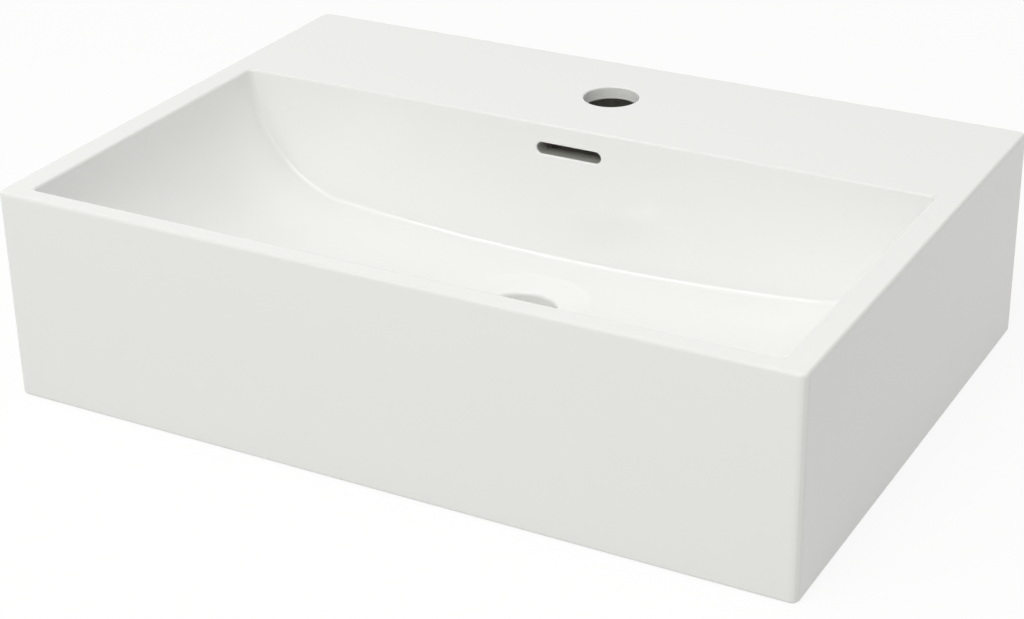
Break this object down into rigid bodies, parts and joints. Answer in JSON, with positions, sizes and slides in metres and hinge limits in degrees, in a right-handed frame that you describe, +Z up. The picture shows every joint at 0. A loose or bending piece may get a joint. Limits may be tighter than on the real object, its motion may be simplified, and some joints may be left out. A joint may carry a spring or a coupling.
{
  "type": "washbasin",
  "caption": "Rectangular wall-hung ceramic washbasin with a swept bowl, a rear tap deck, an overflow slot, a waste hole and its wall fixing set.",
  "frame": {"origin": "the point of the wall plane midway between the two wall fixings, 54 mm below the rim", "axes": "+Z up, +Y from the user into the wall, +X to the right of a user who faces the basin"},
  "size_m": [0.5, 0.41, 0.132],
  "materials": {
    "white_glaze": "gloss white glaze, bare and matt on the back and under the foot",
    "duct_glaze": "thin satin glaze",
    "grey_nylon": "matt moulded nylon",
    "white_nylon": "satin moulded nylon",
    "zinc_steel": "bright zinc plating"
  },
  "bodies": {
    "root": {"ceramic_body": "white_glaze", "overflow_duct": "duct_glaze", "left_hanger_bolt": "zinc_steel", "left_wall_plug": "grey_nylon", "left_collar_bush": "white_nylon", "left_washer": "zinc_steel", "left_nut": "zinc_steel", "right_hanger_bolt": "zinc_steel", "right_wall_plug": "grey_nylon", "right_collar_bush": "white_nylon", "right_washer": "zinc_steel", "right_nut": "zinc_steel"}
  },
  "joints": []
}
